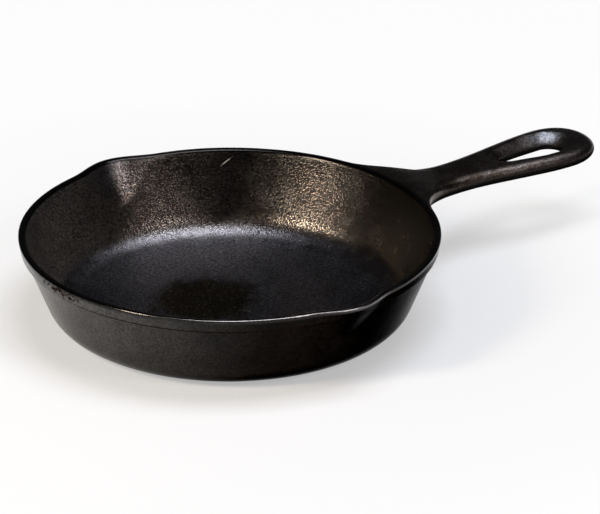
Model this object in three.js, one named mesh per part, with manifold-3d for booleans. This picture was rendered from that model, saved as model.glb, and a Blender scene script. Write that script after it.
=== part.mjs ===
// A cast iron skillet: a shallow round pan with two pouring lips and a flared handle that ends in a
// hanging eye. The real pan is one casting, so its zones meet face to face and nothing moves.
// Millimetres, +Z up. The origin is the centre of the flat underside and the handle points along +X.
import * as THREE from 'three';
import { mergeVertices } from 'three/addons/utils/BufferGeometryUtils.js';
import Module from 'manifold-3d';

const { degToRad, lerp, smoothstep } = THREE.MathUtils;
const QUARTER = Math.PI / 2;

// Pan
const RIM_RADIUS = 102; // outside of the rim, between the lips
const PAN_HEIGHT = 42.8; // table to the top of the rim
const FLOOR_THICKNESS = 4;
const WALL_THICKNESS = 3.5; // measured level, through the wall
const WALL_LEAN = degToRad(22); // outwards from upright
const BASE_FILLET = 16; // outside, between the underside and the wall
const FLOOR_FILLET = 17; // inside, between the floor and the wall
const FLOOR_MARGIN = 1; // the flat floor panel stops this far short of both fillets
const HEEL_MARGIN = 1; // the curved heel reaches this far above both fillets
const BAND_HEIGHT = 6.4; // thickened band below the rim
const BAND_STEP = 1.25; // how far the band's lower edge stands out of the wall
const RIM_ROUND = 1.2; // rounding of the rim's two edges

// Pouring lips, square to the handle
const LIP_WIDTH = 51; // across the lip, along the rim
const LIP_REACH = 5; // how far it stands out of the rim's circle
const LIP_DEPTH = 19; // rim to the foot of the lip's channel
const LIP_FOOT_SHARE = 0.25; // the channel's width at its foot, as a share of its width at the rim

// Handle
const HANDLE_LENGTH = 116; // rim to tip
const HANDLE_THICKNESS = 8.7;
const HANDLE_DROP = 2.4; // the handle's top lies this far below the rim
const EDGE_ROUND = 5.6; // depth of the rounding along the handle's edges
const ROOT_WIDTH = 76; // across the root where it leaves the rim
const ROOT_DEPTH = 13; // height of the root against the wall
const ROOT_SWEEP = 0.4; // how long the root's flare follows the rim, as a share of its run
const ROOT_EMBED = 1.5; // how deep the root is rooted in the wall
const ROOT_MARGIN = degToRad(2); // rim kept with the root on each side of it
const NECK_DISTANCE = 32; // rim to the narrowest place
const NECK_WIDTH = 24.8;
const EYE_WIDTH = 38.4;
const EYE_ROUND = 22; // length of the rounded end, from the widest place to the tip
const EYE_FULLNESS = 0.6; // 0.55 makes the end an ellipse, more makes it squarer
const HOLE_LENGTH = 35.8;
const HOLE_NECK_RADIUS = 4.6;
const HOLE_TIP_RADIUS = 5.5;
const HOLE_NECK_ROUND = 3.2; // depth of the rounding along the hole's edge, at its narrow end
const HOLE_TIP_ROUND = 7.7;
const ROUND_SHARE = 0.6; // share of the bar's length over which that rounding grows
const TIP_LAND = 17.9; // metal between the hole and the tip

// Facets
const RING_SEGMENTS = 72;
const STEP_ANGLE = degToRad(4.6);
const LIP_STEPS = 16;
const LIP_ROWS = 4;
const FILLET_POINTS = 3;
const ROUND_POINTS = 3;
const HANDLE_ACROSS = 8;
const HANDLE_SIDES = 8;
const ROOT_STEPS = 9;
const SHANK_STEPS = 6;
const BAR_STEPS = 16;
const BAR_ACROSS = 3;
const WELD = 1e-4;

// Places that follow from the sizes
const BAND_LOW = PAN_HEIGHT - BAND_HEIGHT;
const LIP_FOOT = PAN_HEIGHT - LIP_DEPTH;
const LIP_HALF_ANGLE = Math.asin(LIP_WIDTH / 2 / RIM_RADIUS);
const ROOT_HALF_ANGLE = Math.asin(ROOT_WIDTH / 2 / RIM_RADIUS);
const ROOT_EDGE = ROOT_HALF_ANGLE + ROOT_MARGIN;
const FILLET_RUN = Math.tan((QUARTER - WALL_LEAN) / 2); // tangent length per millimetre of fillet
const HANDLE_MID = PAN_HEIGHT - HANDLE_DROP - HANDLE_THICKNESS / 2;
const NECK_X = RIM_RADIUS + NECK_DISTANCE;
const TIP_X = RIM_RADIUS + HANDLE_LENGTH;
const EYE_X = TIP_X - EYE_ROUND;
const HOLE_END_X = TIP_X - TIP_LAND;
const HOLE_START_X = HOLE_END_X - HOLE_LENGTH;

const wasm = await Module();
wasm.setup();

// Radius of the wall's outside, of its inside, and of the outside with the band, at a height
const outerWall = (z) => RIM_RADIUS - (PAN_HEIGHT - z) * Math.tan(WALL_LEAN);
const innerWall = (z) => outerWall(z) - WALL_THICKNESS;
function skin(z) {
  if (z < BAND_LOW) return outerWall(z);
  return lerp(outerWall(BAND_LOW) + BAND_STEP, RIM_RADIUS, (z - BAND_LOW) / BAND_HEIGHT);
}
const BASE_FLAT_RADIUS = outerWall(0) - BASE_FILLET * FILLET_RUN;
const FLOOR_FLAT_RADIUS = innerWall(FLOOR_THICKNESS) - FLOOR_FILLET * FILLET_RUN;
const FLOOR_EDGE = Math.min(BASE_FLAT_RADIUS, FLOOR_FLAT_RADIUS) - FLOOR_MARGIN;
const FILLET_RISE = 1 - Math.sin(WALL_LEAN); // height per millimetre of fillet
const BASE_FILLET_TOP = BASE_FILLET * FILLET_RISE;
const FLOOR_FILLET_TOP = FLOOR_THICKNESS + FLOOR_FILLET * FILLET_RISE;
const HEEL_TOP = Math.max(BASE_FILLET_TOP, FLOOR_FILLET_TOP) + HEEL_MARGIN;

// Leaves only the places of a geometry's corners, with shared corners merged
function weld(geometry) {
  geometry.deleteAttribute('normal');
  geometry.deleteAttribute('uv');
  return mergeVertices(geometry, WELD);
}

// Moves each corner of a geometry to the place that a function gives for it
function reshape(geometry, place) {
  const corners = geometry.attributes.position;
  const corner = new THREE.Vector3();
  for (let i = 0; i < corners.count; i++) {
    corner.fromBufferAttribute(corners, i);
    corners.setXYZ(i, ...place(corner).toArray());
  }
  return weld(geometry);
}

// The other side's copy of a geometry, across the plane y = 0
function mirrored(geometry) {
  const copy = geometry.clone().scale(1, -1, 1);
  const index = copy.index.array;
  for (let i = 0; i < index.length; i += 3) {
    [index[i], index[i + 1]] = [index[i + 1], index[i]];
  }
  return copy;
}

function toManifold(geometry) {
  const vertProperties = new Float32Array(geometry.attributes.position.array);
  const triVerts = new Uint32Array(geometry.index.array);
  return new wasm.Manifold(new wasm.Mesh({ numProp: 3, vertProperties, triVerts }));
}

function toGeometry(solid) {
  const { vertProperties, triVerts } = solid.getMesh();
  const geometry = new THREE.BufferGeometry();
  geometry.setAttribute('position', new THREE.BufferAttribute(vertProperties, 3));
  geometry.setIndex(new THREE.BufferAttribute(triVerts, 1));
  return geometry;
}

// Floor: a flat round panel
function cookingFloor() {
  const outline = [
    new THREE.Vector2(0, 0),
    new THREE.Vector2(FLOOR_EDGE, 0),
    new THREE.Vector2(FLOOR_EDGE, FLOOR_THICKNESS),
    new THREE.Vector2(0, FLOOR_THICKNESS),
  ];
  return weld(new THREE.LatheGeometry(outline, RING_SEGMENTS).rotateX(QUARTER));
}

// Heel: the curved ring that turns the floor into the wall, with a fillet on both sides
function heel() {
  const outline = new THREE.Path();
  outline.moveTo(FLOOR_EDGE, 0);
  outline.lineTo(BASE_FLAT_RADIUS, 0);
  outline.absarc(BASE_FLAT_RADIUS, BASE_FILLET, BASE_FILLET, -QUARTER, -WALL_LEAN, false);
  outline.lineTo(outerWall(HEEL_TOP), HEEL_TOP);
  outline.lineTo(innerWall(HEEL_TOP), HEEL_TOP);
  const filletHeight = FLOOR_THICKNESS + FLOOR_FILLET;
  outline.absarc(FLOOR_FLAT_RADIUS, filletHeight, FLOOR_FILLET, -WALL_LEAN, -QUARTER, true);
  outline.lineTo(FLOOR_EDGE, FLOOR_THICKNESS);
  outline.lineTo(FLOOR_EDGE, 0);
  const points = outline.getPoints(FILLET_POINTS);
  return weld(new THREE.LatheGeometry(points, RING_SEGMENTS).rotateX(QUARTER));
}

// Wall: the leaning ring between the heel and the foot of the lips
function sideWall() {
  const outline = [
    new THREE.Vector2(outerWall(HEEL_TOP), HEEL_TOP),
    new THREE.Vector2(outerWall(LIP_FOOT), LIP_FOOT),
    new THREE.Vector2(innerWall(LIP_FOOT), LIP_FOOT),
    new THREE.Vector2(innerWall(HEEL_TOP), HEEL_TOP),
    new THREE.Vector2(outerWall(HEEL_TOP), HEEL_TOP),
  ];
  return weld(new THREE.LatheGeometry(outline, RING_SEGMENTS).rotateX(QUARTER));
}

// Rim's cross-section, from the foot of the lips to the top, with its band and two rounded edges
function rimProfile(rows) {
  const profile = new THREE.Shape();
  profile.moveTo(outerWall(LIP_FOOT), LIP_FOOT);
  for (let row = 1; row <= rows; row++) {
    const z = lerp(LIP_FOOT, BAND_LOW, row / rows);
    profile.lineTo(outerWall(z), z);
  }
  const below = PAN_HEIGHT - RIM_ROUND;
  profile.lineTo(skin(BAND_LOW), BAND_LOW);
  profile.lineTo(skin(below), below);
  profile.quadraticCurveTo(RIM_RADIUS, PAN_HEIGHT, RIM_RADIUS - RIM_ROUND, PAN_HEIGHT);
  profile.lineTo(innerWall(PAN_HEIGHT) + RIM_ROUND, PAN_HEIGHT);
  profile.quadraticCurveTo(innerWall(PAN_HEIGHT), PAN_HEIGHT, innerWall(below), below);
  for (let row = 1; row <= rows; row++) {
    const z = lerp(below, LIP_FOOT, row / rows);
    profile.lineTo(innerWall(z), z);
  }
  return profile;
}

// A stretch of a cross-section swept round the pan's axis from one angle to another
function sweep(profile, from, to, steps, shift = () => 0) {
  const options = { depth: 1, steps, bevelEnabled: false, curveSegments: ROUND_POINTS };
  return reshape(new THREE.ExtrudeGeometry(profile, options), ({ x, y, z }) => {
    const angle = lerp(to, from, z);
    const r = x + shift(angle, x, y);
    return new THREE.Vector3(r * Math.cos(angle), r * Math.sin(angle), y);
  });
}

function rimArc(from, to) {
  return sweep(rimProfile(1), from, to, Math.ceil((to - from) / STEP_ANGLE));
}

// A lip: the rim drawn out into a channel that narrows to its foot, with the band faded out
function pouringLip(middle) {
  const shift = (angle, r, z) => {
    const climb = (z - LIP_FOOT) / LIP_DEPTH;
    const half = LIP_HALF_ANGLE * lerp(LIP_FOOT_SHARE, 1, climb);
    const off = Math.min(Math.abs(angle - middle) / half, 1);
    const bell = (1 + Math.cos(off * Math.PI)) / 2;
    const proud = Math.max(r - outerWall(z), 0);
    return bell * (LIP_REACH * climb - proud);
  };
  return sweep(rimProfile(LIP_ROWS), middle - LIP_HALF_ANGLE, middle + LIP_HALF_ANGLE, LIP_STEPS, shift);
}

// Half of the handle's width at a distance from the pan's centre, between the neck and the eye
function halfWidth(x) {
  return lerp(NECK_WIDTH, EYE_WIDTH, smoothstep(x, NECK_X, EYE_X)) / 2;
}

// A point of the handle's cross-section: across and up run from -1 to 1
function section(x, across, up) {
  const flat = halfWidth(x) - EDGE_ROUND;
  const y = across * (flat + EDGE_ROUND * Math.cos(up * QUARTER));
  const z = HANDLE_MID + (HANDLE_THICKNESS / 2) * Math.sin(up * QUARTER);
  return new THREE.Vector3(x, y, z);
}

// The root's flare: curves that leave the rim along it and turn into the neck
function rootFlare() {
  const box = new THREE.BoxGeometry(1, 1, 1, ROOT_STEPS, HANDLE_ACROSS, HANDLE_SIDES);
  return reshape(box, (corner) => {
    const across = 2 * corner.y;
    const up = 2 * corner.z;
    const angle = across * ROOT_HALF_ANGLE;
    const z = PAN_HEIGHT - (ROOT_DEPTH * (1 - up)) / 2;
    const out = new THREE.Vector3(Math.cos(angle), Math.sin(angle), 0);
    const start = out.clone().multiplyScalar(skin(z) - (up === 1 ? RIM_ROUND : 0)).setZ(z);
    const step = (corner.x + 0.5) * ROOT_STEPS;
    if (step < 0.5) return start.addScaledVector(out, -ROOT_EMBED);
    const along = new THREE.Vector3(Math.sin(angle), -Math.cos(angle), 0).multiplyScalar(Math.sign(across));
    const leave = out.lerp(along, across * across).normalize();
    const end = section(NECK_X, across, up);
    const run = ROOT_SWEEP * start.distanceTo(end);
    const curve = new THREE.CubicBezierCurve3(
      start,
      start.clone().addScaledVector(leave, run),
      end.clone().setX(NECK_X - run),
      end,
    );
    return curve.getPoint((step - 1) / (ROOT_STEPS - 1));
  });
}

// Root: the flare together with the stretch of rim that it grows out of
function handleRoot() {
  const rim = toManifold(rimArc(-ROOT_EDGE, ROOT_EDGE));
  return toGeometry(rim.add(toManifold(rootFlare())));
}

function handleShank() {
  const box = new THREE.BoxGeometry(1, 1, 1, SHANK_STEPS, HANDLE_ACROSS, HANDLE_SIDES);
  return reshape(box, ({ x, y, z }) => section(lerp(NECK_X, HOLE_START_X, x + 0.5), 2 * y, 2 * z));
}

// Half of the hole's outline, from its narrow end at the neck to its round end at the tip
function holeOutline() {
  const neckX = HOLE_START_X + HOLE_NECK_RADIUS;
  const tipX = HOLE_END_X - HOLE_TIP_RADIUS;
  const tangent = Math.acos((HOLE_NECK_RADIUS - HOLE_TIP_RADIUS) / (tipX - neckX));
  const outline = new THREE.Path();
  outline.absarc(neckX, 0, HOLE_NECK_RADIUS, Math.PI, tangent, true);
  outline.absarc(tipX, 0, HOLE_TIP_RADIUS, tangent, 0, true);
  return outline.getSpacedPoints(BAR_STEPS);
}

// Half of the eye's outside, from the start of the hole round to the tip
function eyeOutline() {
  const side = [];
  for (let step = 0; step <= BAR_STEPS; step++) {
    const x = lerp(HOLE_START_X, EYE_X, step / BAR_STEPS);
    side.push(new THREE.Vector2(x, halfWidth(x)));
  }
  const outline = new THREE.CurvePath();
  outline.add(new THREE.SplineCurve(side));
  outline.add(new THREE.CubicBezierCurve(
    new THREE.Vector2(EYE_X, EYE_WIDTH / 2),
    new THREE.Vector2(EYE_X + EYE_FULLNESS * EYE_ROUND, EYE_WIDTH / 2),
    new THREE.Vector2(TIP_X, (EYE_FULLNESS * EYE_WIDTH) / 2),
    new THREE.Vector2(TIP_X, 0),
  ));
  return outline.getSpacedPoints(BAR_STEPS);
}

// One bar of the eye, from the shank round the hole to the middle of the tip, on the +Y side
function eyeBar() {
  const hole = holeOutline();
  const outside = eyeOutline();
  const box = new THREE.BoxGeometry(1, 1, 1, BAR_STEPS, BAR_ACROSS, HANDLE_SIDES);
  return reshape(box, (corner) => {
    const step = Math.round((corner.x + 0.5) * BAR_STEPS);
    const width = hole[step].distanceTo(outside[step]);
    const turn = 2 * corner.z * QUARTER;
    const outerRound = EDGE_ROUND * (1 - Math.cos(turn));
    const widen = smoothstep(step / BAR_STEPS, 0, ROUND_SHARE);
    const holeRound = Math.min(lerp(HOLE_NECK_ROUND, HOLE_TIP_ROUND, widen), width - EDGE_ROUND);
    const innerRound = Math.min(step, 1) * (1 - Math.cos(turn)) * holeRound;
    const across = lerp(innerRound, width - outerRound, corner.y + 0.5);
    const place = hole[step].clone().lerp(outside[step], across / width);
    return new THREE.Vector3(place.x, place.y, HANDLE_MID + (HANDLE_THICKNESS / 2) * Math.sin(turn));
  });
}

const METALNESS = 0.3;

// Seasoned cast iron: near black, a little warmer on the handle and cooler on the worn floor
function castIron(color, roughness) {
  return new THREE.MeshStandardMaterial({ color, roughness, metalness: METALNESS });
}

function zone(name, geometry, color, roughness) {
  geometry.computeVertexNormals();
  const mesh = new THREE.Mesh(geometry, castIron(color, roughness));
  mesh.name = name;
  return mesh;
}

const BODY_BLACK = 0x24211f;
const FLOOR_BLACK = 0x222226;
const HANDLE_BLACK = 0x2a2422;
const SATIN = 0.45;
const DULL = 0.5;
const LEFT = -QUARTER; // as seen by the hand on the handle, looking at the pan
const RIGHT = QUARTER;
const bar = eyeBar();

const skillet = new THREE.Group();
skillet.add(
  zone('cooking_floor', cookingFloor(), FLOOR_BLACK, SATIN),
  zone('heel', heel(), BODY_BLACK, DULL),
  zone('side_wall', sideWall(), BODY_BLACK, DULL),
  zone('rear_rim', rimArc(RIGHT + LIP_HALF_ANGLE, LEFT - LIP_HALF_ANGLE + 2 * Math.PI), BODY_BLACK, SATIN),
  zone('left_rim', rimArc(LEFT + LIP_HALF_ANGLE, -ROOT_EDGE), BODY_BLACK, SATIN),
  zone('right_rim', rimArc(ROOT_EDGE, RIGHT - LIP_HALF_ANGLE), BODY_BLACK, SATIN),
  zone('left_pouring_lip', pouringLip(LEFT), BODY_BLACK, SATIN),
  zone('right_pouring_lip', pouringLip(RIGHT), BODY_BLACK, SATIN),
  zone('handle_root', handleRoot(), HANDLE_BLACK, DULL),
  zone('handle_shank', handleShank(), HANDLE_BLACK, DULL),
  zone('right_eye_bar', bar, HANDLE_BLACK, SATIN),
  zone('left_eye_bar', mirrored(bar), HANDLE_BLACK, SATIN),
);

export default skillet;
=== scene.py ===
"""Looks of a one-piece cast iron skillet: the finished casting, its seasoned surface and a studio.

Metres, +Z up, in the part's own frame. The origin is the centre of the flat underside and the handle
points along +X.
"""

import math

import bpy
import numpy as np
from mathutils import Matrix, Vector, noise


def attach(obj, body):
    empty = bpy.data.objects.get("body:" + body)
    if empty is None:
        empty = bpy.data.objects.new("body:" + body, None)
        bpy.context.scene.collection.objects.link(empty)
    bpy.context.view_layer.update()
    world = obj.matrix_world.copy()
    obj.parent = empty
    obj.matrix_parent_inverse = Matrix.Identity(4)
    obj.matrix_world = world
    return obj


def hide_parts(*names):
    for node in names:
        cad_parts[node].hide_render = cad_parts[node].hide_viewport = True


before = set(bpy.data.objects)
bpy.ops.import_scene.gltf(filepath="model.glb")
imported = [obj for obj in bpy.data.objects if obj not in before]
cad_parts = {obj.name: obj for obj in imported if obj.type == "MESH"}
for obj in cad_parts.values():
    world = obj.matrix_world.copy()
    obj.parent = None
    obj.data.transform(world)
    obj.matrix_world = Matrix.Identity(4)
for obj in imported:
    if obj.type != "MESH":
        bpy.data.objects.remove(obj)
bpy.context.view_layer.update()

MM = 0.001
UP = np.array([0.0, 0.0, 1.0])

# Pan
RIM_RADIUS = 102 * MM
PAN_HEIGHT = 42.8 * MM
FLOOR_THICKNESS = 4 * MM
WALL_THICKNESS = 3.5 * MM
WALL_LEAN = math.radians(22)
WALL_HOLLOW = math.radians(2.5)
BASE_FILLET = 16 * MM
FLOOR_FILLET = 17 * MM
BAND_HEIGHT = 6.4 * MM
BAND_STEP = 1.25 * MM
BAND_ROUND = 0.45 * MM
RIM_ROUND = 1.2 * MM

# Pouring lips
LIP_WIDTH = 51 * MM
LIP_REACH = 5 * MM
LIP_DEPTH = 19 * MM
LIP_SMOOTHNESS = 1.0
LIP_FOOT_SHARE = 0.25
LIP_ANGLES = (-math.pi / 2, math.pi / 2)

# Handle
HANDLE_LENGTH = 116 * MM
HANDLE_THICKNESS = 8.7 * MM
HANDLE_DROP = 2.4 * MM
EDGE_ROUND = 5.6 * MM
ROOT_DEPTH = 13 * MM
ROOT_SWEEP = 0.4
ROOT_FILLET_RUN = 5 * MM
NECK_DISTANCE = 32 * MM
NECK_WIDTH = 24.8 * MM
EYE_WIDTH = 38.4 * MM
EYE_ROUND = 22 * MM
EYE_FULLNESS = 0.6
HOLE_LENGTH = 35.8 * MM
HOLE_NECK_ROUND = 3.2 * MM
HOLE_TIP_ROUND = 7.7 * MM
HOLE_SLOPE = 1.15
HOLE_NECK_LEDGE = 0.4
HOLE_TIP_LEDGE = -0.08
HOLE_NECK_RADIUS = 4.6 * MM
HOLE_TIP_RADIUS = 5.5 * MM
TIP_LAND = 17.9 * MM
ROUND_SHARE = 0.6
UNDER_POWER = 4
PARTING = (-0.05, 0.3)
SCOOP_DEPTH = 1.4 * MM
SCOOP_LENGTH = 17 * MM
SCOOP_WIDTH = 6.5 * MM
SCOOP_OVERLAP = 4 * MM

# Casting unevenness: the length of each swell and its height
SWELLS = ((24 * MM, 0.08 * MM), (7 * MM, 0.03 * MM))
STAND_HEIGHT = 3 * MM

# Zones of the casting, which differ in finish
ZONES = ("underside", "handle", "outside", "rim", "edge", "wall", "fillet", "floor")
UNDERSIDE, HANDLE, OUTSIDE, RIM, EDGE, WALL, FILLET, FLOOR = range(len(ZONES))
FILLET_CLIMB = (0.18, 0.36)
FLOOR_CLIMB = (0.0, 0.05)

# Mesh density
COLUMNS = 480
BASE_FILLET_STEPS = 12
LOW_WALL_STEPS = 12
HIGH_WALL_STEPS = 5
BAND_CORNER_STEPS = 3
BAND_STEPS = 4
RIM_CORNER_STEPS = 5
RIM_STEPS = 3
INNER_WALL_STEPS = 24
FLOOR_FILLET_STEPS = 14
ROOT_COLUMNS = 29
ROOT_ROWS = 34
SHANK_ROWS = 22
BAR_ROWS = 56
HOLE_CELLS = 20
EVEN_ROWS = 14

# Points of the fine outlines that the eye's rows are taken from
HOLE_ARC_STEPS = 60
EYE_STEPS = 120
SECTION_POINTS = 40
FLAT_POINTS = 30

# Places that follow from the sizes
BAND_LOW = PAN_HEIGHT - BAND_HEIGHT
LIP_FOOT = PAN_HEIGHT - LIP_DEPTH
LIP_HALF_ANGLE = math.asin(LIP_WIDTH / 2 / RIM_RADIUS)
FILLET_RUN = math.tan((math.pi / 2 - WALL_LEAN) / 2)
FILLET_RISE = 1 - math.sin(WALL_LEAN)
ROOT_LOW = PAN_HEIGHT - ROOT_DEPTH
HANDLE_MID = PAN_HEIGHT - HANDLE_DROP - HANDLE_THICKNESS / 2
NECK_X = RIM_RADIUS + NECK_DISTANCE
TIP_X = RIM_RADIUS + HANDLE_LENGTH
EYE_X = TIP_X - EYE_ROUND
HOLE_END_X = TIP_X - TIP_LAND
HOLE_START_X = HOLE_END_X - HOLE_LENGTH
FORK_X = HOLE_START_X - HOLE_NECK_ROUND


def lerp(a, b, t):
    return a + (b - a) * t


def smooth(value, low, high):
    t = np.clip((value - low) / (high - low), 0, 1)
    return t * t * (3 - 2 * t)


def outer_wall(z):
    return RIM_RADIUS - (PAN_HEIGHT - z) * math.tan(WALL_LEAN)


def inner_wall(z):
    return outer_wall(z) - WALL_THICKNESS


def skin(z):
    """Radius of the band's outside."""
    return lerp(outer_wall(BAND_LOW) + BAND_STEP, RIM_RADIUS, (z - BAND_LOW) / BAND_HEIGHT)


BASE_FLAT_RADIUS = outer_wall(0) - BASE_FILLET * FILLET_RUN
FLOOR_FLAT_RADIUS = inner_wall(FLOOR_THICKNESS) - FLOOR_FILLET * FILLET_RUN


class Weave:
    """Gathers the points and faces of one mesh, and each point's zone, which may lie between two."""

    def __init__(self):
        self.points = []
        self.faces = []
        self.zones = []
        self.count = 0

    def add(self, points, zone):
        """Adds an array of points and returns an array of their numbers."""
        points = np.asarray(points, float)
        shape = points.shape[:-1]
        numbers = np.arange(self.count, self.count + points[..., 0].size)
        self.points.append(points.reshape(-1, 3))
        self.zones.append(np.broadcast_to(zone, shape).reshape(-1))
        self.count += numbers.size
        return numbers.reshape(shape)

    def quads(self, grid, flip=False, keep=None):
        """Joins a grid of point numbers by quads, where keep says so."""
        corners = [grid[:-1, :-1], grid[:-1, 1:], grid[1:, 1:], grid[1:, :-1]]
        cells = np.stack(corners[::-1] if flip else corners, -1)
        cells = cells[keep] if keep is not None else cells
        self.faces.append(cells.reshape(-1, 4))

    def mesh(self, name):
        """The mesh without the points that no face uses, with one attribute for each zone."""
        faces = np.concatenate(self.faces)
        used, faces = np.unique(faces, return_inverse=True)
        points = np.concatenate(self.points)[used]
        zones = np.concatenate(self.zones)[used]
        mesh = bpy.data.meshes.new(name)
        mesh.from_pydata(points.tolist(), [], faces.reshape(-1, 4).tolist())
        mesh.shade_smooth()
        for number, zone in enumerate(ZONES):
            share = np.clip(1 - np.abs(zones - number), 0, 1)
            attribute = mesh.attributes.new(zone, "FLOAT", "POINT")
            attribute.data.foreach_set("value", share.astype(np.float32))
        return mesh


def arc(centre, radius, start, end, steps):
    angles = np.linspace(start, end, steps + 1)
    return np.stack([centre[0] + radius * np.cos(angles), centre[1] + radius * np.sin(angles)], 1)


def line(start, end, steps):
    return lerp(np.array(start), np.array(end), np.linspace(0, 1, steps + 1)[:, None])


def bend(start, corner, end, steps):
    """A rounded corner: a quadratic curve."""
    t = np.linspace(0, 1, steps + 1)[:, None]
    start, corner, end = np.array(start), np.array(corner), np.array(end)
    return (1 - t) ** 2 * start + 2 * t * (1 - t) * corner + t * t * end


def pan_profile():
    """The pan's section from the edge of the flat underside over the rim to the edge of the floor.

    Also gives each row's zone, and the rows where the handle's root starts and ends."""
    below = PAN_HEIGHT - RIM_ROUND
    fillet_top = BASE_FILLET * FILLET_RISE
    crease = BAND_LOW - BAND_ROUND
    crest = BAND_LOW + BAND_ROUND
    root_foot = (outer_wall(ROOT_LOW), ROOT_LOW)
    edge = (outer_wall(BAND_LOW) + BAND_STEP, BAND_LOW)
    inset = (outer_wall(BAND_LOW), BAND_LOW)
    half_step = (outer_wall(BAND_LOW) + BAND_STEP / 2, BAND_LOW)
    rim_edge = (RIM_RADIUS - RIM_ROUND, PAN_HEIGHT)
    inner_edge = (inner_wall(PAN_HEIGHT) + RIM_ROUND, PAN_HEIGHT)
    wall_top = (inner_wall(below), below)
    floor_centre = (FLOOR_FLAT_RADIUS, FLOOR_THICKNESS + FLOOR_FILLET)
    foot_lean = WALL_LEAN + WALL_HOLLOW
    floor_arc = arc(floor_centre, FLOOR_FILLET, -foot_lean, -math.pi / 2, FLOOR_FILLET_STEPS)
    climb = (below - floor_arc[0, 1]) / 2
    pebble_shade = floor_arc[0] + np.array([climb * math.tan(foot_lean), climb])
    runs = [
        arc((BASE_FLAT_RADIUS, BASE_FILLET), BASE_FILLET, -math.pi / 2, -WALL_LEAN, BASE_FILLET_STEPS),
        line((outer_wall(fillet_top), fillet_top), root_foot, LOW_WALL_STEPS),
        line(root_foot, (outer_wall(crease), crease), HIGH_WALL_STEPS),
        bend((outer_wall(crease), crease), inset, half_step, BAND_CORNER_STEPS),
        bend(half_step, edge, (skin(crest), crest), BAND_CORNER_STEPS),
        line((skin(crest), crest), (skin(below), below), BAND_STEPS),
        bend((skin(below), below), (RIM_RADIUS, PAN_HEIGHT), rim_edge, RIM_CORNER_STEPS),
        line(rim_edge, inner_edge, RIM_STEPS),
        bend(inner_edge, (inner_wall(PAN_HEIGHT), PAN_HEIGHT), wall_top, RIM_CORNER_STEPS),
        bend(wall_top, pebble_shade, floor_arc[0], INNER_WALL_STEPS),
        floor_arc,
    ]
    runs_below_root = 2
    runs_to_rim_top = 7
    run_zones = [OUTSIDE] * 6 + [EDGE, RIM, EDGE] + [WALL] * 2
    steps = [len(run) - 1 for run in runs]
    profile = np.concatenate([run[:-1] for run in runs] + [runs[-1][-1:]])
    zones = np.append(np.repeat(run_zones, steps), WALL).astype(float)
    climb = (profile[:, 1] - FLOOR_THICKNESS) / FLOOR_FILLET
    to_floor = 2 - smooth(climb, *FILLET_CLIMB) - smooth(climb, *FLOOR_CLIMB)
    zones[zones == WALL] += to_floor[zones == WALL]
    return profile, zones, sum(steps[:runs_below_root]), sum(steps[:runs_to_rim_top])


def lip_shift(angle, r, z):
    """How far the lips move the rim outwards, with the band faded out."""
    climb = np.clip((z - LIP_FOOT) / LIP_DEPTH, 0, 1)
    half = LIP_HALF_ANGLE * lerp(LIP_FOOT_SHARE, 1, climb)
    proud = np.maximum(r - outer_wall(z), 0)
    shift = 0
    for middle in LIP_ANGLES:
        off = np.abs((angle - middle + math.pi) % (2 * math.pi) - math.pi)
        bell = (1 + np.cos(math.pi * np.minimum(off / half, 1))) / 2
        shift = shift + bell * (LIP_REACH * climb - proud)
    return shift


def pan_body(weave):
    """Wall, band, rim and fillets, open where the handle grows out, and the two flat discs."""
    profile, zones, low_row, high_row = pan_profile()
    angles = np.arange(COLUMNS) * 2 * math.pi / COLUMNS
    r, z = profile[:, :1], profile[:, 1:]
    shift = lip_shift(angles[None], r, z)
    out = r + shift
    places = [out * np.cos(angles), out * np.sin(angles), np.broadcast_to(z, out.shape)]
    smoother = LIP_SMOOTHNESS * np.clip(shift / LIP_REACH, 0, 1) * (zones[:, None] == WALL)
    ring = weave.add(np.stack(places, -1), zones[:, None] + smoother)
    grid = np.concatenate([ring, ring[:, :1]], 1)
    keep = np.ones((len(profile) - 1, COLUMNS), bool)
    keep[low_row:high_row, :ROOT_COLUMNS] = False
    keep[low_row:high_row, -ROOT_COLUMNS:] = False
    weave.quads(grid, keep=keep)
    disc(weave, ring[0], BASE_FLAT_RADIUS, 0, OUTSIDE)
    disc(weave, ring[-1], FLOOR_FLAT_RADIUS, FLOOR_THICKNESS, FLOOR, flip=True)
    across = np.arange(-ROOT_COLUMNS, ROOT_COLUMNS + 1)
    return ring[low_row:high_row + 1, across]


def disc(weave, edge, radius, z, zone, flip=False):
    """A flat disc as a square grid drawn into a circle, so that its edge meets the ring's points."""
    cells = COLUMNS // 4
    steps = np.linspace(-1, 1, cells + 1)
    a, b = np.meshgrid(steps, steps, indexing="ij")
    wide = np.abs(a) >= np.abs(b)
    reach = np.where(wide, a, b)
    ratio = np.divide(np.where(wide, b, a), reach, out=np.zeros_like(a), where=reach != 0)
    turn = np.where(wide, ratio * math.pi / 4, math.pi / 2 - ratio * math.pi / 4)
    x, y = radius * reach * np.cos(turn), radius * reach * np.sin(turn)
    grid = weave.add(np.stack([x, y, np.full_like(x, z)], -1), zone)
    rim = np.maximum(np.abs(a), np.abs(b)) > 1 - 0.5 / cells
    column = np.rint(np.arctan2(y, x) / (2 * math.pi) * COLUMNS).astype(int) % COLUMNS
    grid = np.where(rim, edge[column], grid)
    weave.quads(grid, flip=flip)


def half_width(x):
    return lerp(NECK_WIDTH, EYE_WIDTH, smooth(x, NECK_X, EYE_X)) / 2


def section(x, across, up):
    """A point of the handle's section: across and up run from -1 to 1."""
    flat = half_width(x) - EDGE_ROUND
    y = across * (flat + EDGE_ROUND * np.cos(up * math.pi / 2))
    z = HANDLE_MID + HANDLE_THICKNESS / 2 * np.sin(up * math.pi / 2)
    return np.stack(np.broadcast_arrays(x, y, z), -1)


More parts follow.
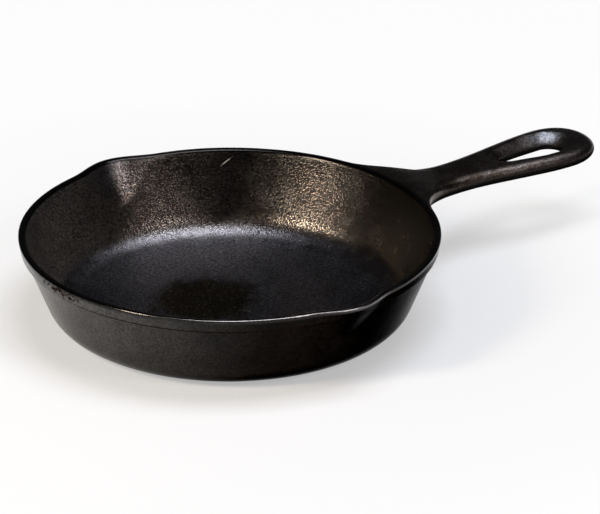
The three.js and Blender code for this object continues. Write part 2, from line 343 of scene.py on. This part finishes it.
def handle_zone(points):
    """The handle's finish on top, and the matt finish of its underside below."""
    rise = (points[..., 2] - HANDLE_MID) / HANDLE_THICKNESS
    return lerp(UNDERSIDE, HANDLE, smooth(rise, *PARTING))


def loop_of(block):
    """The edge of a block of rows and columns, from its top row's start round to the same place."""
    return np.concatenate([block[-1], block[-2::-1, -1], block[0, -2::-1], block[1:, 0]])


def handle_stem(weave, block):
    """Root and shank: curves from the rim to the neck, then sections to where the eye forks."""
    points = np.concatenate(weave.points)
    rows, columns = block.shape
    across = np.broadcast_to(np.linspace(-1, 1, columns), block.shape)
    up = np.broadcast_to(np.linspace(-1, 1, rows)[:, None], block.shape)
    loop, across, up = loop_of(block), loop_of(across), loop_of(up)
    start = points[loop]
    angle = np.arctan2(start[:, 1], start[:, 0])
    out = np.stack([np.cos(angle), np.sin(angle), 0 * angle], 1)
    along = np.stack([np.sin(angle), -np.cos(angle), 0 * angle], 1) * np.sign(across)[:, None]
    under = (np.maximum(-up, 0) ** UNDER_POWER)[:, None]
    climb = out * math.sin(WALL_LEAN) + UP * math.cos(WALL_LEAN)
    side = (across ** 2)[:, None]
    leave = lerp(lerp(out, along, side), climb, under * (1 - side))
    leave /= np.linalg.norm(leave, axis=1)[:, None]
    end = section(NECK_X, across, up)
    run = ROOT_SWEEP * np.linalg.norm(end - start, axis=1)[:, None]
    first_run = lerp(run, np.minimum(run, ROOT_FILLET_RUN), under * (1 - side))
    first = start + leave * first_run
    second = end - run * np.array([1.0, 0, 0])
    rings = [loop]
    for t in np.linspace(0, 1, ROOT_ROWS + 1)[1:]:
        s = 1 - t
        curve = s ** 3 * start + 3 * s * s * t * first + 3 * s * t * t * second + t ** 3 * end
        rings.append(weave.add(curve[:-1], handle_zone(curve[:-1]))[np.r_[0:len(loop) - 1, 0]])
    for x in np.linspace(NECK_X, FORK_X, SHANK_ROWS + 1)[1:]:
        curve = section(x, across, up)[:-1]
        rings.append(weave.add(curve, handle_zone(curve))[np.r_[0:len(loop) - 1, 0]])
    weave.quads(np.array(rings), flip=True)
    return rings[-1], rows - 1, columns - 1


def spaced(curve, count):
    """Points at even distances along a polyline, and the polyline's direction at each."""
    lengths = np.r_[0, np.cumsum(np.linalg.norm(np.diff(curve, axis=0), axis=1))]
    where = np.linspace(0, lengths[-1], count + 1)
    points = np.stack([np.interp(where, lengths, c) for c in curve.T], 1)
    slope = np.gradient(points, axis=0)
    return points, slope / np.linalg.norm(slope, axis=1)[:, None]


def hole_outline():
    """Half of the hanging hole, from its narrow end to its round end, on the +Y side."""
    neck_x = HOLE_START_X + HOLE_NECK_RADIUS
    tip_x = HOLE_END_X - HOLE_TIP_RADIUS
    tangent = math.acos((HOLE_NECK_RADIUS - HOLE_TIP_RADIUS) / (tip_x - neck_x))
    neck = arc((neck_x, 0), HOLE_NECK_RADIUS, math.pi, tangent, HOLE_ARC_STEPS)
    tip = arc((tip_x, 0), HOLE_TIP_RADIUS, tangent, 0, HOLE_ARC_STEPS)
    points, slope = spaced(np.concatenate([neck, tip]), BAR_ROWS)
    metal = np.stack([-slope[:, 1], slope[:, 0]], 1)
    metal[0], metal[-1] = (-1, 0), (1, 0)
    return points, metal


def eye_outline():
    """Half of the eye's outside, from the fork round to the tip, on the +Y side."""
    x = np.linspace(FORK_X, EYE_X, EYE_STEPS)
    side = np.stack([x, half_width(x)], 1)
    t = np.linspace(0, 1, EYE_STEPS + 1)[:, None]
    a = np.array([EYE_X, EYE_WIDTH / 2])
    b = np.array([EYE_X + EYE_FULLNESS * EYE_ROUND, EYE_WIDTH / 2])
    c = np.array([TIP_X, EYE_FULLNESS * EYE_WIDTH / 2])
    d = np.array([TIP_X, 0])
    end = (1 - t) ** 3 * a + 3 * t * (1 - t) ** 2 * b + 3 * t * t * (1 - t) * c + t ** 3 * d
    points, slope = spaced(np.concatenate([side, end[1:]]), BAR_ROWS)
    away = np.stack([-slope[:, 1], slope[:, 0]], 1)
    away[0], away[-1] = (0, 1), (1, 0)
    return points, away


def hole_edge(turn, ledge):
    """The hole's edge as shares of its round and of the half thickness: sloped on top, round below."""
    power = np.where(turn > 0, 2 / HOLE_SLOPE, 1)
    rise = np.where(turn > 0, 1 - ledge, -1 - ledge)
    return 1 - np.cos(turn) ** power, ledge + rise * np.abs(np.sin(turn)) ** power


def bar_section(hole, metal, outside, away, share):
    """A closed section of an eye bar as a fine polyline, from its outermost point over the top."""
    width = np.linalg.norm(outside - hole)
    widen = smooth(share, 0, ROUND_SHARE)
    hole_round = min(lerp(HOLE_NECK_ROUND, HOLE_TIP_ROUND, widen), width - EDGE_ROUND)
    turn = np.linspace(0, math.pi / 2, SECTION_POINTS)[:, None]
    outer = outside - away * EDGE_ROUND * (1 - np.cos(turn))
    lift = np.sin(turn)
    side = np.linspace(math.pi / 2, -math.pi / 2, 2 * SECTION_POINTS)[:, None]
    back, side_lift = hole_edge(side, lerp(HOLE_NECK_LEDGE, HOLE_TIP_LEDGE, widen))
    inner = hole + metal * hole_round * back
    flat = lerp(outer[-1], inner[0], np.linspace(0, 1, FLAT_POINTS)[1:-1, None])
    plan = np.concatenate([outer, flat, inner, flat[::-1], outer[::-1]])
    top = np.ones((len(flat), 1))
    lift = np.concatenate([lift, top, side_lift, -top, -lift[::-1]])
    return np.concatenate([plan, HANDLE_MID + HANDLE_THICKNESS / 2 * lift], 1)


def resample(curve, shares):
    """Points of a polyline at shares of its length."""
    lengths = np.r_[0, np.cumsum(np.linalg.norm(np.diff(curve, axis=0), axis=1))]
    return np.stack([np.interp(shares * lengths[-1], lengths, c) for c in curve.T], 1)


def eye_bars(weave, ring, side_cells, top_cells):
    """The two bars round the hanging hole, from the fork to the middle of the tip."""
    half = top_cells // 2
    hole, metal = hole_outline()
    outside, away = eye_outline()
    turn = np.linspace(math.pi / 2, -math.pi / 2, HOLE_CELLS + 1)[1:-1]
    back, lift = hole_edge(turn, HOLE_NECK_LEDGE)
    fork = [HOLE_START_X - HOLE_NECK_ROUND * back, 0 * turn, HANDLE_MID + HANDLE_THICKNESS / 2 * lift]
    fork = np.stack(fork, 1)
    chain = weave.add(fork, handle_zone(fork))
    tip = None
    for mirror in (1, -1):
        if mirror == 1:
            outer = ring[half:top_cells + side_cells + half + 1][::-1]
        else:
            outer = np.r_[ring[top_cells + side_cells + half:-1], ring[:half + 1]]
        first = np.r_[outer, chain, outer[0]]
        middle = half + side_cells // 2
        first = np.r_[first[middle:-1], first[:middle + 1]]
        points = np.concatenate(weave.points)
        lengths = np.linalg.norm(np.diff(points[first], axis=0), axis=1)
        shares = np.r_[0, np.cumsum(lengths)] / lengths.sum()
        even = np.linspace(0, 1, len(first))
        rings = [first]
        for row in range(1, BAR_ROWS + 1):
            if row == BAR_ROWS and tip is not None:
                rings.append(tip)
                continue
            mixed = lerp(shares, even, smooth(row, 0, EVEN_ROWS))
            curve = bar_section(hole[row], metal[row], outside[row], away[row], row / BAR_ROWS)
            places = resample(curve, mixed) * np.array([1, mirror, 1])
            rings.append(weave.add(places[:-1], handle_zone(places[:-1]))[np.r_[0:len(first) - 1, 0]])
        tip = rings[-1]
        weave.quads(np.array(rings), flip=mirror == -1)


def scoop(points):
    """Dishes the handle's top where it leads into the hanging hole."""
    x, y, z = points.T
    rise = np.clip((z - HANDLE_MID) / (HANDLE_THICKNESS / 2), 0, 1) * (x > NECK_X)
    along = smooth(x, HOLE_START_X - SCOOP_LENGTH, HOLE_START_X)
    along = along * (1 - smooth(x, HOLE_START_X + SCOOP_OVERLAP, HOLE_START_X + SCOOP_LENGTH))
    points[:, 2] -= SCOOP_DEPTH * rise * along * np.exp(-(y / SCOOP_WIDTH) ** 2)


def swell(points):
    """The soft unevenness of a sand casting, faded out towards the underside that it stands on."""
    waves = [sum(height * noise.noise(point / length) for length, height in SWELLS) for point in points]
    return np.array(waves) * smooth(points[:, 2], 0, STAND_HEIGHT)


def read_vectors(vertices, name):
    values = np.empty(3 * len(vertices))
    vertices.foreach_get(name, values)
    return values.reshape(-1, 3)


def finish_casting(mesh):
    """Dishes the handle, then moves each point along its normal by the casting's swell."""
    points = read_vectors(mesh.vertices, "co")
    scoop(points)
    mesh.vertices.foreach_set("co", points.ravel())
    mesh.update()
    points += swell(points)[:, None] * read_vectors(mesh.vertices, "normal")
    mesh.vertices.foreach_set("co", points.ravel())
    mesh.update()


def shape_skillet():
    weave = Weave()
    block = pan_body(weave)
    ring, side_cells, top_cells = handle_stem(weave, block)
    eye_bars(weave, ring, side_cells, top_cells)
    mesh = weave.mesh("skillet")
    finish_casting(mesh)
    return mesh


# The range that most of a noise texture's values lie in
NOISE_SPAN = (0.3, 0.7)


class Nodes:
    """Makes a material's nodes by short calls: an input is a value or another node's output."""

    def __init__(self, name):
        self.material = bpy.data.materials.new(name)
        self.material.use_nodes = True
        self.tree = self.material.node_tree
        self.shader = self.tree.nodes["Principled BSDF"]

    def fill(self, node, inputs):
        for name, value in inputs.items():
            if isinstance(value, bpy.types.NodeSocket):
                self.tree.links.new(value, node.inputs[name])
            else:
                node.inputs[name].default_value = value

    def make(self, kind, inputs, output=0, **settings):
        node = self.tree.nodes.new("ShaderNode" + kind)
        for name, value in settings.items():
            setattr(node, name, value)
        self.fill(node, inputs)
        return node.outputs[output]

    def zone(self, zone):
        return self.make("Attribute", {}, "Fac", attribute_name=ZONES[zone])

    def along(self, place, way):
        return self.make("VectorMath", {0: place, 1: way}, "Value", operation="DOT_PRODUCT")

    def noise(self, place, length, detail=2.0, roughness=0.5):
        inputs = {"Vector": place, "Scale": 1 / length, "Detail": detail, "Roughness": roughness}
        return self.make("TexNoise", inputs)

    def math(self, operation, a, b):
        return self.make("Math", {0: a, 1: b}, operation=operation)

    def spread(self, value, low, high, to_low, to_high, way="LINEAR"):
        inputs = {"Value": value, "From Min": low, "From Max": high, "To Min": to_low, "To Max": to_high}
        return self.make("MapRange", inputs, interpolation_type=way)

    def mix(self, share, start, end):
        """A blend of two numbers, or of two colours where the end is written as one."""
        if isinstance(end, tuple):
            return self.make("Mix", {"Factor": share, 6: start, 7: end}, 2, data_type="RGBA")
        return self.make("Mix", {"Factor": share, 2: start, 3: end})

    def by_zone(self, shares, values):
        """A number or a colour that differs from zone to zone."""
        is_colour = isinstance(values[0], tuple)
        total = (0, 0, 0) if is_colour else 0.0
        for share, value in zip(shares, values):
            inputs = {0: share, 1: value, 2: total}
            total = self.make("VectorMath" if is_colour else "Math", inputs, operation="MULTIPLY_ADD")
        return total

    def mark(self, place, centre, reach, rag, grain, edge=(0.9, 1.1), turn=(0, 0, 0)):
        """1 inside an ellipsoid and 0 outside, with an edge that rag breaks up in lumps of size grain."""
        inputs = {"Vector": place, "Location": centre, "Rotation": turn, "Scale": reach}
        local = self.make("Mapping", inputs, vector_type="TEXTURE")
        away = self.make("VectorMath", {0: local}, "Value", operation="LENGTH")
        lumps = self.spread(self.noise(place, grain, 3), *NOISE_SPAN, -rag, rag)
        return self.spread(self.math("ADD", away, lumps), *edge, 1.0, 0.0)


# Look of the iron in each zone: underside, handle, outside, rim, edge, wall, fillet, floor
IRON = (
    (0.012, 0.011, 0.010),
    (0.131, 0.113, 0.106),
    (0.009, 0.0075, 0.0065),
    (0.026, 0.024, 0.023),
    (0.030, 0.028, 0.027),
    (0.152, 0.137, 0.124),
    (0.150, 0.143, 0.153),
    (0.056, 0.055, 0.065),
)
EDGE_SHEEN = (0.25, 1.0, 0.4, 1.0, 1.0, 1.0, 1.0, 1.0)
GRAIN = (0.6, 0.45, 0.45, 0.3, 0.12, 1.0, 0.55, 0.5)
SAND = (0.2, 0.35, 0.35, 0.2, 0.12, 0.25, 0.45, 0.7)
SPOTS = (0.1, 0.4, 0.2, 0.12, 0.25, 0.15, 0.15, 0.7)
RELIEF = (0.0, 0.12, 0.0, 0.0, 0.0, 0.0, 0.12, 0.35)
ROUGHNESS = (0.5, 0.3, 0.2, 0.3, 0.17, 0.24, 0.26, 0.34)
PEBBLE = 0.74 * MM
PEBBLE_HEIGHT = 0.145 * MM
PEBBLE_SMOOTHNESS = 0.5
# Painted shade and highlight on the pebbles: the colour is scaled up on their tops and down in the creases
# between them
CREASE_SPAN = (0.0, 0.4)
CREASE_SHADE = (1.35, 0.3)
SAND_SIZE = 0.45 * MM
SAND_DETAIL = 1.0
SPOT_SIZE = 1.4 * MM
SPOT_DETAIL = (2, 0.6)
SPOT_SPAN = (0.4, 0.6)
SPOT_SHADE = (0.15, 1.85)
SPECK_SPACING = 1.6 * MM
SPECK_SIZE = (0.18, 0.3)
SPECK_DRIFTS = 2.2 * MM
DRIFT_SPAN = (0.4, 0.65)
DRIFT_SHARE = (0.05, 0.45)
SPECK_RISE = 0.6
MOTTLE = 14 * MM
MOTTLE_DETAIL = (4, 0.6)
MOTTLE_SHADE = (0.8, 1.2)
MOTTLE_ROUGHNESS = (-0.03, 0.05)

# Brown patches on the neck of the handle
BROWN_IRON = (0.078, 0.062, 0.050, 1)
BROWN_PLACE = (124 * MM, 0, 40 * MM)
BROWN_REACH = (42 * MM, 22 * MM, 12 * MM)
BROWN_RAG = 1.2
BROWN_LUMP = 9 * MM
BROWN_EDGE = (0.3, 1.1)

# Drier, greyer seasoning on one side of the outside, brightened there as a painted reflection of the lit
# floor; the same side is matt inside the pan
DRY_AND_REFLECTION_IRON = (0.190, 0.182, 0.173, 1)
SIDE_WAY = (-0.82, 0.57, 0)
DRY_AND_REFLECTION_REACH = (-24 * MM, 150 * MM)
DRY_AND_REFLECTION_SHEEN = 1.0
MATT_REACH = (52 * MM, 86 * MM)
MATT_SHARE = 0.34

# Painted shade inside the pan, on the other side: the wall's iron darker and more olive there
SHADED_WALL_IRON = (0.050, 0.045, 0.034, 1)
SHADED_WALL_REACH = (-88 * MM, -55 * MM)
SHADED_WALL_SHARE = 0.9

# Painted highlight: brighter iron along the near side of the rim's crest
RIM_HIGHLIGHT_IRON = (0.28, 0.260, 0.255, 1)
RIM_HIGHLIGHT_WAY = (-0.39, -0.92, 0)
RIM_HIGHLIGHT_REACH = (74 * MM, 92 * MM)
RIM_HIGHLIGHT_LEVEL = (PAN_HEIGHT - 0.7 * MM, PAN_HEIGHT - 0.4 * MM)

# Painted highlight on the far bar of the eye: brighter, bluer iron where the overhead lamp reflects
FAR_BAR_HIGHLIGHT_IRON = (0.205, 0.210, 0.235, 1)
FAR_BAR_HIGHLIGHT_PLACE = (200 * MM, 8 * MM, 38 * MM)
FAR_BAR_HIGHLIGHT_REACH = (12 * MM, 7 * MM, 7 * MM)
FAR_BAR_HIGHLIGHT_RAG = 0.4
FAR_BAR_HIGHLIGHT_LUMP = 3 * MM
FAR_BAR_HIGHLIGHT_EDGE = (0.4, 1.1)

# Painted reflection: the floor's iron brighter and bluer towards the back of the pan
FLOOR_REFLECTION_IRON = (0.136, 0.135, 0.154, 1)
FLOOR_REFLECTION_WAY = (0.58, 0.82, 0)
FLOOR_REFLECTION_REACH = (5 * MM, 72 * MM)

# Painted shade in the crease below the band
BAND_SHADE_HEIGHT = BAND_LOW - 0.35 * MM
BAND_SHADE_REACH = (0.45 * MM, 1.0 * MM)
BAND_SHADE_SHARE = 0.8
BAND_SHADE_SHEEN = 0.3

# Brown stain on the cooking floor
STAIN_IRON = (0.033, 0.027, 0.018, 1)
STAIN_PLACE = (-6.5 * MM, 12 * MM, FLOOR_THICKNESS)
STAIN_REACH = (28 * MM, 26 * MM, 5 * MM)
STAIN_RAG = 0.12
STAIN_LUMP = 7 * MM
STAIN_EDGE = (0.75, 1.1)
STAIN_SHEEN = 0.5
STAIN_ROUGHNESS = 0.35

# Dark chips along the band, opposite the handle
# This colour also paints the shade in the crease below the band
CHIP_AND_BAND_SHADE_IRON = (0.020, 0.013, 0.010, 1)
CHIP_PLACE = (-101 * MM, -4 * MM, 40.5 * MM)
CHIP_REACH = (6 * MM, 13 * MM, 2.4 * MM)
CHIP_RAG = 1.3
CHIP_LUMP = 1.8 * MM
CHIP_EDGE = (0.2, 1.1)
CHIP_SHEEN = 0.5

# Bare scratch high on the wall, beside the handle
BARE_IRON = (0.55, 0.53, 0.50, 1)
SCRATCH_PLACE = (54.3 * MM, 79.5 * MM, 37.4 * MM)
SCRATCH_WAY = (4.4, -1.5, 3.2)
SCRATCH_REACH = (2.9 * MM, 1.5 * MM, 0.26 * MM)
SCRATCH_RAG = 0.5
SCRATCH_LUMP = 0.8 * MM
SCRATCH_ROUGHNESS = 0.7


def seasoned_iron():
    """Seasoned sand-cast iron: a thin dark film over a pebbled surface, in the finish of each zone."""
    nodes = Nodes("cast_iron")
    place = nodes.make("TexCoord", {}, "Object")
    level = nodes.make("SeparateXYZ", {0: place}, "Z")
    shares = [nodes.zone(zone) for zone in range(len(ZONES))]
    mottle = nodes.noise(place, MOTTLE, *MOTTLE_DETAIL)
    cells = {"Vector": place, "Scale": 1 / PEBBLE, "Smoothness": PEBBLE_SMOOTHNESS}
    pebble = nodes.make("TexVoronoi", cells, feature="SMOOTH_F1")
    crease = nodes.math("MULTIPLY", pebble, pebble)
    sand = nodes.noise(place, SAND_SIZE, SAND_DETAIL)
    spots = nodes.spread(nodes.noise(place, SPOT_SIZE, *SPOT_DETAIL), *SPOT_SPAN, *SPOT_SHADE)
    grit = nodes.make("TexVoronoi", {"Vector": place, "Scale": 1 / SPECK_SPACING})
    drifts = nodes.spread(nodes.noise(place, SPECK_DRIFTS), *DRIFT_SPAN, *DRIFT_SHARE)
    specks = nodes.math("MULTIPLY", nodes.spread(grit, *SPECK_SIZE, 1.0, 0.0), drifts)
    specks = nodes.math("MULTIPLY", specks, shares[FLOOR])

    side = nodes.along(place, SIDE_WAY)
    # Drier, greyer seasoning on one side of the outside, brightened as a painted reflection of the lit
    # floor
    dry_and_reflection = nodes.spread(side, *DRY_AND_REFLECTION_REACH, 0.0, 1.0, "SMOOTHSTEP")
    dry_and_reflection = nodes.math("MULTIPLY", dry_and_reflection, shares[OUTSIDE])
    # Painted shade: the inner wall darker on the other side
    shaded_wall = nodes.spread(side, *SHADED_WALL_REACH, SHADED_WALL_SHARE, 0.0, "SMOOTHSTEP")
    shaded_wall = nodes.math("MULTIPLY", shaded_wall, shares[WALL])
    matt = nodes.math("MULTIPLY", nodes.spread(side, *MATT_REACH, 0.0, MATT_SHARE), shares[WALL])
    # Painted reflection: the floor brighter towards the back of the pan
    floor_reflection = nodes.spread(nodes.along(place, FLOOR_REFLECTION_WAY), *FLOOR_REFLECTION_REACH, 0.0, 1.0)
    floor_reflection = nodes.math("MULTIPLY", floor_reflection, shares[FLOOR])
    # Painted highlight along the near side of the rim's crest
    rim_highlight = nodes.spread(nodes.along(place, RIM_HIGHLIGHT_WAY), *RIM_HIGHLIGHT_REACH, 0.0, 1.0)
    rim_highlight = nodes.math("MULTIPLY", rim_highlight, shares[EDGE])
    rim_highlight = nodes.math("MULTIPLY", rim_highlight, nodes.spread(level, *RIM_HIGHLIGHT_LEVEL, 0.0, 1.0))
    # Painted shade: a dark strip in the crease below the band, with less edge reflection there too
    below_band = nodes.math("ABSOLUTE", nodes.math("SUBTRACT", level, BAND_SHADE_HEIGHT), 0.0)
    band_shade = nodes.spread(below_band, *BAND_SHADE_REACH, BAND_SHADE_SHARE, 0.0)
    band_shade = nodes.math("MULTIPLY", band_shade, shares[OUTSIDE])
    stain = nodes.mark(place, STAIN_PLACE, STAIN_REACH, STAIN_RAG, STAIN_LUMP, STAIN_EDGE)
    chips = nodes.mark(place, CHIP_PLACE, CHIP_REACH, CHIP_RAG, CHIP_LUMP, CHIP_EDGE)
    brown = nodes.mark(place, BROWN_PLACE, BROWN_REACH, BROWN_RAG, BROWN_LUMP, BROWN_EDGE)
    brown = nodes.math("MULTIPLY", brown, shares[HANDLE])
    # Painted highlight on the far bar of the eye
    far_bar_highlight = nodes.mark(place, FAR_BAR_HIGHLIGHT_PLACE, FAR_BAR_HIGHLIGHT_REACH, FAR_BAR_HIGHLIGHT_RAG, FAR_BAR_HIGHLIGHT_LUMP, FAR_BAR_HIGHLIGHT_EDGE)
    far_bar_highlight = nodes.math("MULTIPLY", far_bar_highlight, shares[HANDLE])
    scratch_turn = Vector(SCRATCH_WAY).to_track_quat("X", "Z").to_euler()
    scratch = nodes.mark(place, SCRATCH_PLACE, SCRATCH_REACH, SCRATCH_RAG, SCRATCH_LUMP, turn=scratch_turn)

    grain = nodes.by_zone(shares, GRAIN)
    colour = nodes.by_zone(shares, IRON)
    colour = nodes.mix(brown, colour, BROWN_IRON)
    # Some of these colour mixes paint highlights, shade and reflections, as noted where their masks are
    # made
    colour = nodes.mix(far_bar_highlight, colour, FAR_BAR_HIGHLIGHT_IRON)
    colour = nodes.mix(dry_and_reflection, colour, DRY_AND_REFLECTION_IRON)
    colour = nodes.mix(shaded_wall, colour, SHADED_WALL_IRON)
    colour = nodes.mix(rim_highlight, colour, RIM_HIGHLIGHT_IRON)
    colour = nodes.mix(band_shade, colour, CHIP_AND_BAND_SHADE_IRON)
    colour = nodes.mix(floor_reflection, colour, FLOOR_REFLECTION_IRON)
    colour = nodes.mix(stain, colour, STAIN_IRON)
    colour = nodes.mix(chips, colour, CHIP_AND_BAND_SHADE_IRON)
    shade = nodes.spread(mottle, *NOISE_SPAN, *MOTTLE_SHADE)
    # Painted shade in the pebbles' creases and painted highlight on their tops
    pebble_shade = nodes.spread(crease, *CREASE_SPAN, *CREASE_SHADE)
    shade = nodes.math("MULTIPLY", shade, nodes.mix(grain, 1.0, pebble_shade))
    shade = nodes.math("MULTIPLY", shade, nodes.mix(nodes.by_zone(shares, SPOTS), 1.0, spots))
    colour = nodes.make("VectorMath", {0: colour, "Scale": shade}, operation="SCALE")
    colour = nodes.mix(nodes.math("MAXIMUM", scratch, specks), colour, BARE_IRON)

    sheen = nodes.by_zone(shares, EDGE_SHEEN)
    # The dry side's raised edge reflection is part of its painted reflection
    sheen = nodes.mix(dry_and_reflection, sheen, DRY_AND_REFLECTION_SHEEN)
    sheen = nodes.mix(band_shade, sheen, BAND_SHADE_SHEEN)
    sheen = nodes.mix(chips, sheen, CHIP_SHEEN)
    sheen = nodes.mix(stain, sheen, STAIN_SHEEN)

    height = nodes.math("MULTIPLY", sand, nodes.by_zone(shares, SAND))
    height = nodes.math("ADD", height, nodes.math("MULTIPLY", spots, nodes.by_zone(shares, RELIEF)))
    height = nodes.math("ADD", height, nodes.math("MULTIPLY", specks, SPECK_RISE))
    height = nodes.math("SUBTRACT", height, nodes.math("MULTIPLY", crease, grain))
    bump = nodes.make("Bump", {"Height": height, "Strength": 1.0, "Distance": PEBBLE_HEIGHT})
    uneven = nodes.spread(mottle, *NOISE_SPAN, *MOTTLE_ROUGHNESS)
    rough = nodes.math("ADD", nodes.by_zone(shares, ROUGHNESS), uneven)
    rough = nodes.mix(scratch, rough, SCRATCH_ROUGHNESS)
    rough = nodes.mix(stain, rough, STAIN_ROUGHNESS)
    nodes.fill(nodes.shader, {
        "Base Color": colour,
        "Metallic": nodes.math("SUBTRACT", 1.0, matt),
        "Roughness": rough,
        "Specular Tint": sheen,
        "Normal": bump,
    })
    return nodes.material


skillet = bpy.data.objects.new("skillet", shape_skillet())
bpy.context.scene.collection.objects.link(skillet)
skillet.data.materials.append(seasoned_iron())
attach(skillet, "root")
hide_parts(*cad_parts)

# Camera
CAMERA_DISTANCE = 3.06
CAMERA_ELEVATION = math.radians(25.0457)
HANDLE_AZIMUTH = math.radians(35.2)
FOCAL_PIXELS = 6325.81
IMAGE_SIZE = (600, 514)
ORIGIN_PIXEL = (229.885, 311.839)
SENSOR = 36
CLIP_END = 20

# Stage
FLOOR_HALF = 4
FLOOR_GAP = 0.2 * MM
FLOOR_COLOUR = (0.93, 0.95, 0.98, 1)
FLOOR_LIFT = (0.42, 0.92)
LIFT_REACH = (0.1, 0.27)
WORLD_COLOUR = (0.026, 0.025, 0.026, 1)

# Lamps: name, azimuth and elevation in degrees, distance, size, radiance, colour
LAMPS = (
    ("left_softbox", -58, 37, 1.3, (0.20, 0.40), 39.0, (1.0, 0.87, 0.71)),
    ("overhead_softbox", 102, 79, 2.0, (1.0, 1.42), 5.6, (0.92, 0.94, 1.0)),
    ("right_softbox", 49, 39, 2.2, (0.55, 0.55), 8.4, (1.0, 0.9, 0.87)),
)


def add_camera():
    """The camera stands so that the part's origin falls on its pixel, with the horizon level."""
    place = Vector((
        -math.cos(CAMERA_ELEVATION) * math.sin(HANDLE_AZIMUTH),
        -math.cos(CAMERA_ELEVATION) * math.cos(HANDLE_AZIMUTH),
        math.sin(CAMERA_ELEVATION),
    )) * CAMERA_DISTANCE
    right = Vector((math.cos(HANDLE_AZIMUTH), -math.sin(HANDLE_AZIMUTH), 0))
    to_origin = -place.normalized()
    up = right.cross(to_origin)
    off_u = ORIGIN_PIXEL[0] - IMAGE_SIZE[0] / 2
    off_v = ORIGIN_PIXEL[1] - IMAGE_SIZE[1] / 2
    aim = (FOCAL_PIXELS * to_origin - off_u * right + off_v * up).normalized()
    right = aim.cross(Vector((0, 0, 1))).normalized()
    up = right.cross(aim)
    data = bpy.data.cameras.new("camera")
    data.sensor_width = SENSOR
    data.sensor_fit = "HORIZONTAL"
    data.lens = FOCAL_PIXELS / IMAGE_SIZE[0] * SENSOR
    data.clip_end = CLIP_END
    camera = bpy.data.objects.new("camera", data)
    turn = Matrix((right, up, -aim)).transposed().to_4x4()
    camera.matrix_world = Matrix.Translation(place) @ turn
    bpy.context.scene.collection.objects.link(camera)
    bpy.context.scene.camera = camera


def add_floor():
    """A plain pale floor that keeps the soft shadow and fades to white away from the pan."""
    mesh = bpy.data.meshes.new("floor")
    corners = [(-FLOOR_HALF, -FLOOR_HALF, 0), (FLOOR_HALF, -FLOOR_HALF, 0)]
    corners += [(FLOOR_HALF, FLOOR_HALF, 0), (-FLOOR_HALF, FLOOR_HALF, 0)]
    mesh.from_pydata(corners, [], [(0, 1, 2, 3)])
    floor = bpy.data.objects.new("floor", mesh)
    floor.location.z = -FLOOR_GAP
    nodes = Nodes("floor")
    nodes.fill(nodes.shader, {"Base Color": FLOOR_COLOUR, "Roughness": 1.0, "Specular IOR Level": 0.0})
    rays = nodes.tree.nodes.new("ShaderNodeLightPath").outputs
    seen = nodes.math("MAXIMUM", rays["Is Camera Ray"], rays["Is Glossy Ray"])
    seen = nodes.math("MAXIMUM", seen, rays["Is Transmission Ray"])
    place = nodes.make("TexCoord", {}, "Object")
    away = nodes.make("VectorMath", {0: place}, "Value", operation="LENGTH")
    lift = nodes.spread(away, *LIFT_REACH, *FLOOR_LIFT)
    white = nodes.make("Emission", {"Color": (1, 1, 1, 1), "Strength": 1.0})
    lift = nodes.math("MULTIPLY", seen, lift)
    surface = nodes.make("MixShader", {0: lift, 1: nodes.shader.outputs[0], 2: white})
    nodes.tree.links.new(surface, nodes.tree.nodes["Material Output"].inputs["Surface"])
    mesh.materials.append(nodes.material)
    bpy.context.scene.collection.objects.link(floor)


def add_lamp(name, azimuth, elevation, distance, size, radiance, colour):
    """A soft box that faces the pan; the azimuth is turned from the camera's side, right is positive."""
    turn = math.radians(azimuth)
    rise = math.radians(elevation)
    right = Vector((math.cos(HANDLE_AZIMUTH), -math.sin(HANDLE_AZIMUTH), 0))
    near = Vector((-math.sin(HANDLE_AZIMUTH), -math.cos(HANDLE_AZIMUTH), 0))
    level = near * math.cos(turn) + right * math.sin(turn)
    place = (level * math.cos(rise) + Vector((0, 0, 1)) * math.sin(rise)) * distance
    data = bpy.data.lights.new(name, "AREA")
    data.shape = "RECTANGLE"
    data.size, data.size_y = size
    data.energy = radiance * math.pi * size[0] * size[1]
    data.color = colour
    lamp = bpy.data.objects.new(name, data)
    lamp.location = place
    lamp.rotation_mode = "QUATERNION"
    lamp.rotation_quaternion = place.to_track_quat("Z", "Y")
    lamp.visible_camera = False
    bpy.context.scene.collection.objects.link(lamp)


add_camera()
add_floor()
for lamp in LAMPS:
    add_lamp(*lamp)

world = bpy.data.worlds.new("studio")
world.use_nodes = True
world.node_tree.nodes["Background"].inputs["Color"].default_value = WORLD_COLOUR
bpy.context.scene.world = world
bpy.context.scene.view_settings.view_transform = "Standard"
